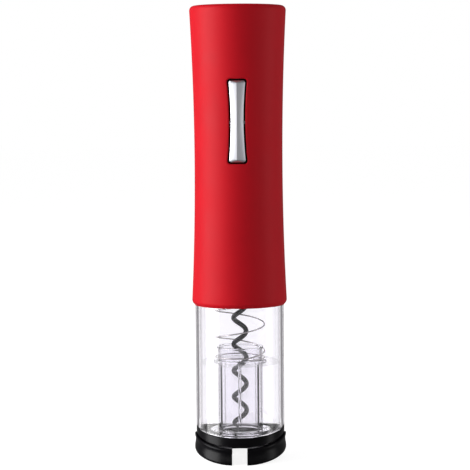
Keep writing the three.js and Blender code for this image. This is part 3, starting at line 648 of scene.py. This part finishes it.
class OPENER_OT_rocker(bpy.types.Operator):
    """The long silver rocker, crowned across and bevelled at its ends"""

    bl_idname = "opener.rocker"
    bl_label = "Rocker"

    def execute(self, context):
        sizes = context.scene.opener_sizes
        front, back = ROCKER_LOW.y, ROCKER_LOW.y + 2.8 * MM
        crown, sharpness, end_slope, steps = 1.35 * MM, 1.4, 1.4 * MM, 12
        edge = front + crown
        levels = [(1.0, back), (1.0, edge + 0.25 * MM), (0.985, edge)]
        for i in range(1, steps + 1):
            across = 0.97 * (1 - i / steps)
            levels.append((across, edge + (front - edge) * (1 - across ** sharpness)))
        rings = []
        for across, y in levels:
            outline = rocker_outline(sizes, 0, across, (1 - across) * end_slope)
            rings.append([(x, y, z + sizes.rocker_height) for x, z in outline])
        body = lofted("rocker", rings)
        pin = (PIN_LOW + PIN_HIGH) / 2
        ear = block("ear", (-3 * MM, back - 0.2 * MM, pin.z - 2 * MM),
                    (3 * MM, pin.y + 1.4 * MM, pin.z + 2 * MM))
        stem = block("stem", (-1.1 * MM, pin.y, pin.z - 0.8 * MM),
                     (1.1 * MM, ROCKER_HIGH.y, pin.z + 0.8 * MM))
        bosses = []
        for side in (-1, 1):
            boss = peg("boss", 0.8 * MM, -0.5 * MM, 0.25 * MM, (0, 0), 24)
            boss.rotation_euler = (0, side * math.pi / 2, 0)
            boss.location = (side * sizes.rocker_waist, edge + 0.5 * MM, sizes.rocker_height)
            apply_place(boss)
            bosses.append(boss)
        piece = joined([body, ear, stem, *bosses], "rocker_face")
        silver = silver_paint(context.scene.opener_colours)
        finished(piece, silver, "rocker", "silver_paint", "rocker_button", degrees=45)
        return {"FINISHED"}


# ---- barrel, sleeve, spring and worm ----


def arch_lower_edge(piece, low, high, edge, rise, radius):
    """Lifts what lies between two heights so that the lower edge follows an arch."""
    for vertex in piece.data.vertices:
        z = vertex.co.z
        if z < high:
            share = (high - z) / (high - low)
            vertex.co.z = high - share * (high - edge - arch(vertex.co.y, rise, radius))


class OPENER_OT_barrel(bpy.types.Operator):
    """The clear barrel, and the bulkhead that closes it at the top"""

    bl_idname = "opener.barrel"
    bl_label = "Barrel"

    def execute(self, context):
        sizes = context.scene.opener_sizes
        outer, inner = TUBE_HIGH.x, TUBE_HIGH.x - sizes.tube_wall
        low, high = TUBE_LOW.z, TUBE_HIGH.z
        above_arch = low + 8 * MM
        outline = softened([(inner, low), (outer, low), (outer, above_arch), (outer, high),
                            (inner, high), (inner, above_arch)], 0.25 * MM, 2)
        tube = turned("barrel", outline, sizes.facets)
        arch_lower_edge(tube, low, above_arch, low, sizes.collar_rise, outer)
        colours = context.scene.opener_colours
        finished(tube, clear_plastic(colours), "housing", "clear_plastic", "clear_tube")
        skirt = inner - GAP
        skirt_inner = skirt - 1.4 * MM
        skirt_low, plate_high = BULKHEAD_LOW.z, BULKHEAD_HIGH.z
        plate_low = plate_high - 3 * MM
        hole = 6.5 * MM
        outline = softened([(hole, plate_low), (skirt_inner, plate_low), (skirt_inner, skirt_low),
                            (skirt, skirt_low), (skirt, plate_low), (outer, plate_low),
                            (outer, plate_high), (hole, plate_high)], 0.3 * MM, 3)
        plate = turned("tube_bulkhead", outline, 96)
        finished(plate, black_moulding(colours), "housing", "black_moulding", "bulkhead")
        return {"FINISHED"}


class OPENER_OT_sleeve(bpy.types.Operator):
    """The clear neck sleeve: foot ring, ribbed body, guide disc, spring seat and rim"""

    bl_idname = "opener.sleeve"
    bl_label = "Neck sleeve"

    def execute(self, context):
        sizes = context.scene.opener_sizes
        bore, body = sizes.sleeve_bore, sizes.sleeve_body
        low, high = SLEEVE_LOW.z, SLEEVE_HIGH.z
        disc = low + 39.1 * MM
        seat = disc + 0.9 * MM
        neck = body - 0.2 * MM
        foot_r, foot_top = 17 * MM, low + 1.4 * MM
        seat_r, seat_top = 14.8 * MM, seat + 1 * MM
        rim_r, rim_low = 13.1 * MM, high - 1 * MM
        outline = softened([
            (bore, low), (foot_r, low), (foot_r, foot_top), (body, foot_top), (body, disc),
            (seat_r, disc), (seat_r, seat_top), (neck, seat_top), (neck, rim_low), (rim_r, rim_low),
            (rim_r, high), (bore, high),
        ], 0.3 * MM, 3)
        piece = turned("sleeve", outline, sizes.facets)
        ribs = []
        for angle in (-90, -38, 38, 90, 142, 218):
            at = (body + 0.1 * MM, 0)
            rib = peg("rib", 0.75 * MM, low + 1 * MM, disc + 0.2 * MM, at, 24)
            rib.rotation_euler.z = math.radians(angle)
            apply_place(rib)
            ribs.append(rib)
        for rib in ribs:
            carve(piece, rib, "UNION")
        clear = clear_plastic(context.scene.opener_colours)
        finished(piece, clear, "sleeve", "clear_plastic", "neck_sleeve")
        inner, outer = seat_r + 0.05 * MM, SLEEVE_HIGH.x
        outline = softened([(inner, disc), (outer, disc), (outer, seat), (inner, seat)], 0.3 * MM, 3)
        guide = turned("sleeve_guide", outline, sizes.facets)
        finished(guide, thin_clear_plastic(), "sleeve", "clear_plastic")
        return {"FINISHED"}


def coil_points(radius, stations, per_turn):
    """Points on a coil about the Z axis through (turns, z) stations."""

    def on_coil(turns, z):
        angle = 2 * math.pi * turns
        return radius * math.cos(angle), radius * math.sin(angle), z

    points = []
    for (turns, z), (next_turns, next_z) in zip(stations, stations[1:]):
        steps = max(2, round((next_turns - turns) * per_turn))
        for i in range(steps):
            share = i / steps
            points.append(on_coil(turns + (next_turns - turns) * share, z + (next_z - z) * share))
    points.append(on_coil(*stations[-1]))
    return points


class OPENER_OT_spring(bpy.types.Operator):
    """The wire spring that presses the sleeve down"""

    bl_idname = "opener.spring"
    bl_label = "Sleeve spring"

    def execute(self, context):
        sizes = context.scene.opener_sizes
        wire = 0.36 * MM
        radius = SPRING_HIGH.x - 0.38 * MM
        low, high = SPRING_LOW.z + wire, SPRING_HIGH.z - wire
        right_extreme = 60.9 * MM
        dead = 1.1 * MM

        def turns(z):
            return (z - right_extreme) / sizes.spring_pitch

        stations = [(turns(low + dead) - 1, low), (turns(low + dead), low + dead),
                    (turns(high - dead), high - dead), (turns(high - dead) + 1, high)]
        piece = wire_along("neck_spring", coil_points(radius, stations, 48), wire, sides=3)
        finished(piece, bright_wire(), "housing", "spring_steel", "sleeve_spring", degrees=60)
        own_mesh(piece)
        return {"FINISHED"}


class OPENER_OT_worm(bpy.types.Operator):
    """The pointed worm, and the hub that drives it"""

    bl_idname = "opener.worm"
    bl_label = "Worm"

    def execute(self, context):
        sizes = context.scene.opener_sizes
        wire = 1.36 * MM
        radius = WORM_HIGH.x - wire
        left_extreme = 79.3 * MM
        top = 87.6 * MM
        tip = WORM_LOW.z + 0.3 * MM

        def turns(z):
            return 0.5 + (z - left_extreme) / sizes.worm_pitch

        points = coil_points(radius, [(turns(tip), tip), (turns(top), top)], 40)
        coil = wire_along("coil", points, wire, taper=20, sides=6)
        boss_low, boss_top, boss_r, shank_r = top - 0.5 * MM, top + 1.2 * MM, WORM_HIGH.x, 2 * MM
        outline = [(0, boss_low), (boss_r, boss_low), (boss_r, boss_top), (shank_r, boss_top),
                   (shank_r, WORM_HIGH.z), (0, WORM_HIGH.z)]
        boss = turned("boss", softened(outline, 0.3 * MM), 48)
        piece = joined([coil, boss], "worm")
        colours = context.scene.opener_colours
        coating = coated_steel(colours)
        finished(piece, coating, "output", "black_coated_steel", "corkscrew", degrees=50)
        bore, shank_bore = 4.3 * MM, 2.3 * MM
        low, high, radius = HUB_LOW.z, HUB_HIGH.z, HUB_HIGH.x
        step = low + 1.2 * MM
        outline = softened([(shank_bore, low), (radius, low), (radius, high), (bore, high),
                            (bore, step), (shank_bore, step)], 0.4 * MM, 3)
        hub = turned("worm_hub", outline, 64)
        finished(hub, black_moulding(colours), "output", "black_moulding", "corkscrew_hub")
        return {"FINISHED"}


# ---- collar and foil cutter ----


def between_arches(piece, low, high, bottom, bottom_rise, top, top_rise, radius):
    """Fits a straight ring between two arched edges."""
    for vertex in piece.data.vertices:
        share = (vertex.co.z - low) / (high - low)
        y = vertex.co.y
        edge = bottom + arch(y, bottom_rise, radius)
        vertex.co.z = edge + share * (top + arch(y, top_rise, radius) - edge)


class OPENER_OT_collar(bpy.types.Operator):
    """The black collar under the barrel"""

    bl_idname = "opener.collar"
    bl_label = "Collar"

    def execute(self, context):
        sizes = context.scene.opener_sizes
        outer = COLLAR_HIGH.x
        inner = outer - 3.8 * MM
        top = TUBE_LOW.z - GAP
        bottom = COLLAR_LOW.z
        height, bottom_rise = 5 * MM, 5.7 * MM
        outline = softened([(inner, 0), (outer, 0), (outer, height), (inner, height)], 0.45 * MM, 3)
        band = turned("band", outline, sizes.facets)
        between_arches(band, 0, height, bottom, bottom_rise, top, sizes.collar_rise, outer)
        hole, reach, underside = 15.6 * MM, outer - 2.4 * MM, top - 2.7 * MM
        corners = [(hole, underside), (reach, underside), (reach, top), (hole, top)]
        floor = turned("floor", softened(corners, 0.4 * MM, 3), sizes.facets)
        piece = joined([band, floor], "collar")
        black = black_moulding(context.scene.opener_colours)
        finished(piece, black, "housing", "black_moulding", "bottom_collar")
        return {"FINISHED"}


def cutter_wall(sizes):
    """The foil cutter's outer wall as a full ring: a lip above, a waist, and a rounded foot."""
    outer = ARM_HIGH.x
    profile = [(24.0, 0.3), (24.3, 0), (25.1, 0), (25.55, 0.35), (25.78, 1.0), (25.8, 1.8),
               (25.66, 3.0), (25.42, 4.2), (25.3, 5.4), (25.36, 6.5), (25.62, 7.4), (25.74, 7.9),
               (25.7, 8.4), (25.4, 8.7), (24.3, 8.7), (24.0, 8.4)]
    widest = max(r for r, _ in profile)
    piece = turned("wall", [(outer * r / widest, z * MM) for r, z in profile], sizes.facets)
    height, below, lip_rise = 8.7 * MM, -0.45 * MM, sizes.foot_rise + 0.2 * MM
    between_arches(piece, 0, height, below, sizes.foot_rise, height, lip_rise, outer)
    return piece


def cutter_plates(sizes, inner, heights, thickness):
    """Flat rings that join the wall at the given heights."""
    outer = ARM_HIGH.x - 1.6 * MM
    plates = []
    for z in heights:
        top = z + thickness
        outline = softened([(inner, z), (outer, z), (outer, top), (inner, top)], 0.2 * MM, 2)
        plates.append(turned("plate", outline, sizes.facets))
    return plates


def sector(pieces, degrees, keep_front):
    """Cuts pieces by an upright plane through the axis at an angle from +X."""
    normal = Vector((-math.sin(math.radians(degrees)), math.cos(math.radians(degrees)), 0))
    for piece in pieces:
        bisect(piece, (0, 0, 0), normal if keep_front else -normal)


def flat_feet(piece):
    """Levels the lowest places, where the cutter stands."""
    for vertex in piece.data.vertices:
        vertex.co.z = max(vertex.co.z, 0)


def mirrored_copy(piece, name):
    copy = piece.copy()
    copy.data = piece.data.copy()
    copy.name = copy.data.name = name
    bpy.context.collection.objects.link(copy)
    copy.scale.x = -1
    apply_place(copy)
    close_up(copy)
    return copy


class OPENER_OT_foil_cutter(bpy.types.Operator):
    """The foil cutter: two arms, hinged on a bridge at the back"""

    bl_idname = "opener.foil_cutter"
    bl_label = "Foil cutter"

    def execute(self, context):
        sizes = context.scene.opener_sizes
        colours = context.scene.opener_colours
        low_plate, high_plate, plate = 5.8 * MM, 7.8 * MM, 0.8 * MM
        inner = 15.8 * MM
        pin_low, pin_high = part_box("cutter_hinge_pin_right")
        hinge = (pin_low + pin_high) / 2
        arm_parts = [cutter_wall(sizes), *cutter_plates(sizes, inner, (low_plate, high_plate), plate)]
        sector(arm_parts, 65.2, True)
        for part in arm_parts:
            bisect(part, (ARM_LOW.x, 0, 0), (-1, 0, 0))
        bevelled(arm_parts[0], 0.35 * MM, 3, 50)
        knuckle_low, knuckle_high = low_plate + 0.4 * MM, high_plate + plate - 0.4 * MM
        knuckle = peg("knuckle", 2.2 * MM, knuckle_low, knuckle_high, hinge, 40)
        link = block("link", (0, -1.6 * MM, knuckle_low), (3.2 * MM, 1.6 * MM, knuckle_high))
        link.rotation_euler.z = math.radians(-27)
        link.location = (hinge.x, hinge.y, 0)
        apply_place(link)
        bosses = []
        for end in ("front", "rear"):
            low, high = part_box(f"cutter_wheel_right_{end}")
            at = (low + high) / 2
            for z in (low_plate, high_plate):
                hole, rim, above = 1.3 * MM, 2.1 * MM, z + plate
                boss = turned("boss", [(hole, z), (rim, z), (rim, above), (hole, above)], 32)
                boss.location = (at.x, at.y, 0)
                apply_place(boss)
                bosses.append(boss)
        right = joined([*arm_parts, knuckle, link, *bosses], "arm_right")
        flat_feet(right)
        left = mirrored_copy(right, "arm_left")
        for side, piece in (("right", right), ("left", left)):
            black = black_moulding(colours)
            finished(piece, black, f"arm_{side}", "black_moulding", f"cutter_arm_{side}")
        tabs = (low_plate - 1.2 * MM, high_plate + plate)
        bridge_parts = [cutter_wall(sizes), *cutter_plates(sizes, inner + 2 * MM, tabs, 1.1 * MM)]
        sector(bridge_parts, 66, False)
        sector(bridge_parts, 114, True)
        bevelled(bridge_parts[0], 0.35 * MM, 3, 50)
        bridge = joined(bridge_parts, "bridge")
        flat_feet(bridge)
        finished(bridge, black_moulding(colours), "foil_cutter", "black_moulding", "cutter_bridge")
        return {"FINISHED"}


class OPENER_OT_wheels(bpy.types.Operator):
    """The cutting wheels with their axles, and the arms' hinge pins"""

    bl_idname = "opener.wheels"
    bl_label = "Wheels and pins"

    def execute(self, context):
        for side in ("left", "right"):
            for end in ("front", "rear"):
                low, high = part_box(f"cutter_wheel_{side}_{end}")
                at = (low + high) / 2
                edge, flat, axle = 5 * MM, 4.2 * MM, 0.9 * MM
                half, middle = 0.3 * MM, at.z
                blunt = 0.02 * MM
                outline = [(0, low.z), (axle, low.z), (axle, middle - half), (flat, middle - half),
                           (edge, middle - blunt), (edge, middle + blunt), (flat, middle + half),
                           (axle, middle + half), (axle, high.z), (0, high.z)]
                name = f"wheel_{side}_{end}"
                wheel = turned(name, outline, 72)
                wheel.location = (at.x, at.y, 0)
                apply_place(wheel)
                finished(wheel, ground_steel(), name, "blade_steel", f"cutter_{name}")
            low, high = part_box(f"cutter_hinge_pin_{side}")
            pin = peg(f"hinge_pin_{side}", (high.x - low.x) / 2, low.z, high.z, (low + high) / 2)
            finished(pin, plain_steel(), "foil_cutter", "plain_steel", f"cutter_hinge_pin_{side}")
        return {"FINISHED"}


class OPENER_OT_inner_parts(bpy.types.Operator):
    """Finishes for the working parts inside, which keep their own shapes"""

    bl_idname = "opener.inner_parts"
    bl_label = "Inner parts"

    def execute(self, context):
        colours = context.scene.opener_colours
        finishes = {
            "grey_moulding": grey_moulding(), "cell_sleeve": printed_film(),
            "spring_steel": bright_wire(), "plain_steel": plain_steel(), "ferrite": ferrite(),
            "armature": wound_copper(), "black_moulding": black_moulding(colours),
            "bronze": sintered_bronze(), "natural_nylon": natural_nylon(),
            "circuit_board": circuit_board(),
        }
        for part in frame["record"]["subparts"]:
            node = frame["nodes"][part["node"]]
            if node.hide_render or part["material_slot"] not in finishes:
                continue
            node.data.materials.clear()
            node.data.materials.append(finishes[part["material_slot"]])
        return {"FINISHED"}


# ---- studio ----


def studio_light(name, azimuth, height, distance, size, power, aim=0.13):
    """A soft box on a circle round the object. Azimuth 0 is the front, and it grows to the right."""
    light = bpy.data.lights.new(name, "AREA")
    light.shape = "RECTANGLE"
    light.size, light.size_y = size
    light.energy = power
    lamp = bpy.data.objects.new(name, light)
    bpy.context.collection.objects.link(lamp)
    angle = math.radians(azimuth)
    lamp.location = (distance * math.sin(angle), -distance * math.cos(angle), height)
    lamp.rotation_euler = (Vector((0, 0, aim)) - lamp.location).to_track_quat("-Z", "Y").to_euler()
    lamp.visible_camera = False
    return lamp


def straight_to_eye(tree):
    """1 for light that reaches the camera without lighting a dull surface on its way, or else 0."""
    rays = tree.nodes.new("ShaderNodeLightPath")
    return calculated(tree, "LESS_THAN", rays.outputs["Diffuse Depth"], 0.5)


def studio_world(front, back, overhead, mirrored):
    """White to the eye and through clear parts; to lit surfaces, bright behind and dim in front,
    and dimmer still in reflections."""
    world = bpy.data.worlds.new("studio")
    bpy.context.scene.world = world
    world.use_nodes = True
    tree = world.node_tree
    background = tree.nodes["Background"]
    background.inputs["Color"].default_value = (1, 1, 1, 1)
    place = tree.nodes.new("ShaderNodeTexCoord")
    split = tree.nodes.new("ShaderNodeSeparateXYZ")
    tree.links.new(place.outputs["Generated"], split.inputs["Vector"])
    rays = tree.nodes.new("ShaderNodeLightPath").outputs
    depth = remapped(tree, split.outputs["Y"], (-0.35, 0.6), (front, back), "SMOOTHSTEP")
    height = remapped(tree, split.outputs["Z"], (0.2, 0.9), (1.0, overhead))
    dim = remapped(tree, rays["Is Glossy Ray"], (0, 1), (1, mirrored))
    lit = calculated(tree, "MULTIPLY", calculated(tree, "MULTIPLY", depth, height), dim)
    through = calculated(tree, "MULTIPLY", rays["Is Transmission Ray"], straight_to_eye(tree))
    seen = calculated(tree, "MAXIMUM", rays["Is Camera Ray"], through)
    strength = calculated(tree, "ADD", seen, calculated(
        tree, "MULTIPLY", lit, calculated(tree, "SUBTRACT", 1.0, seen)))
    tree.links.new(strength, background.inputs["Strength"])


def dark_card(name, side, near, far, depth, height):
    """An upright grey card behind the object to one side, fading to pale at its edges. It is seen
    only through clear parts, whose edges it draws."""
    deselect()
    bpy.ops.mesh.primitive_plane_add(size=1)
    card = bpy.context.object
    card.name = card.data.name = name
    card.scale = (far - near, height, 1)
    card.rotation_euler = (math.pi / 2, 0, 0)
    middle = side * (near + far) / 2
    card.location = (middle, depth, height / 2)
    apply_place(card)
    material, tree, shader = new_material(name)
    shader.inputs["Base Color"].default_value = (0, 0, 0, 1)
    shader.inputs["Specular IOR Level"].default_value = 0
    shader.inputs["Emission Color"].default_value = (1, 0.97, 1, 1)
    place = tree.nodes.new("ShaderNodeTexCoord")
    split = tree.nodes.new("ShaderNodeSeparateXYZ")
    tree.links.new(place.outputs["Object"], split.inputs["Vector"])
    off_middle = calculated(tree, "ABSOLUTE", calculated(tree, "SUBTRACT", split.outputs["X"], middle))
    grey = remapped(tree, off_middle, (0.01, (far - near) / 2), (0.24, 0.9))
    tree.links.new(grey, shader.inputs["Emission Strength"])
    card.data.materials.append(material)
    card.visible_camera = card.visible_diffuse = card.visible_glossy = card.visible_shadow = False


class OPENER_OT_studio(bpy.types.Operator):
    """The pale floor, the soft lights and the camera"""

    bl_idname = "opener.studio"
    bl_label = "Studio"

    def execute(self, context):
        deselect()
        bpy.ops.mesh.primitive_plane_add(size=12)
        floor = context.object
        floor.name = "studio_floor"
        material, tree, shader = new_material("pale_floor")
        shader.inputs["Base Color"].default_value = (0.4, 0.4, 0.4, 1)
        shader.inputs["Roughness"].default_value = 0.9
        shader.inputs["Emission Color"].default_value = (1, 1, 1, 1)
        glow = remapped(tree, straight_to_eye(tree), (0, 1), (0.2, 0.87))
        tree.links.new(glow, shader.inputs["Emission Strength"])
        floor.data.materials.append(material)
        floor.visible_glossy = floor.visible_diffuse = False
        studio_world(front=0.36, back=0.5, overhead=0.6, mirrored=0.35)
        lamp_distance = 0.9
        studio_light("key", -75, 0.25, lamp_distance, (0.7, 1.1), 16.5)
        studio_light("fill", 85, 0.2, lamp_distance, (0.3, 1.0), 2.0)
        rocker_z = 0.185
        sheens = (("sheen_left", -33, 0.72, 0.8), ("sheen_middle", 24, 0.56, 0.13),
                  ("sheen_right", 58, 0.4, 0.3))
        for name, azimuth, width, power in sheens:
            sheen = studio_light(name, azimuth, rocker_z, lamp_distance, (width, 0.24), power,
                                 aim=rocker_z)
            sheen.visible_diffuse = False
        for name, side, near in (("card_left", -1, 0.05), ("card_right", 1, 0.047)):
            dark_card(name, side, near, far=0.108, depth=0.1, height=0.34)
        camera_data = bpy.data.cameras.new("camera")
        camera_data.sensor_width = 36
        camera_data.lens = 139.6
        camera = bpy.data.objects.new("camera", camera_data)
        context.collection.objects.link(camera)
        turn, pitch, roll = math.radians(1.5), math.radians(4.427), math.radians(0.44)
        distance, eye, left = 1.02, 0.205, 0.0017
        camera.location = (distance * math.sin(turn) - left, -distance * math.cos(turn), eye)
        camera.rotation_euler = (math.pi / 2 - pitch, roll, turn)
        context.scene.camera = camera
        context.scene.view_settings.view_transform = "Standard"
        return {"FINISHED"}


class OPENER_PT_pieces(bpy.types.Panel):
    """Sizes and colours, and a button for each piece"""

    bl_label = "Wine opener"
    bl_idname = "OPENER_PT_pieces"
    bl_space_type = "VIEW_3D"
    bl_region_type = "UI"
    bl_category = "Opener"

    def draw(self, context):
        for group in (context.scene.opener_sizes, context.scene.opener_colours):
            for name in group.__annotations__:
                self.layout.prop(group, name)
        for operator in OPERATORS:
            self.layout.operator(operator.bl_idname)


OPERATORS = (
    OPENER_OT_grip, OPENER_OT_battery_cap, OPENER_OT_rocker, OPENER_OT_barrel, OPENER_OT_sleeve,
    OPENER_OT_spring, OPENER_OT_worm, OPENER_OT_collar, OPENER_OT_foil_cutter, OPENER_OT_wheels,
    OPENER_OT_inner_parts, OPENER_OT_studio,
)
CLASSES = (OpenerSizes, OpenerColours, *OPERATORS, OPENER_PT_pieces)


def register():
    for cls in CLASSES:
        bpy.utils.register_class(cls)
    bpy.types.Scene.opener_sizes = PointerProperty(type=OpenerSizes)
    bpy.types.Scene.opener_colours = PointerProperty(type=OpenerColours)


def unregister():
    del bpy.types.Scene.opener_colours
    del bpy.types.Scene.opener_sizes
    for cls in reversed(CLASSES):
        bpy.utils.unregister_class(cls)


def main():
    register()
    for operator in OPERATORS:
        _, name = operator.bl_idname.split(".")
        getattr(bpy.ops.opener, name)()


if __name__ == "__main__":
    main()
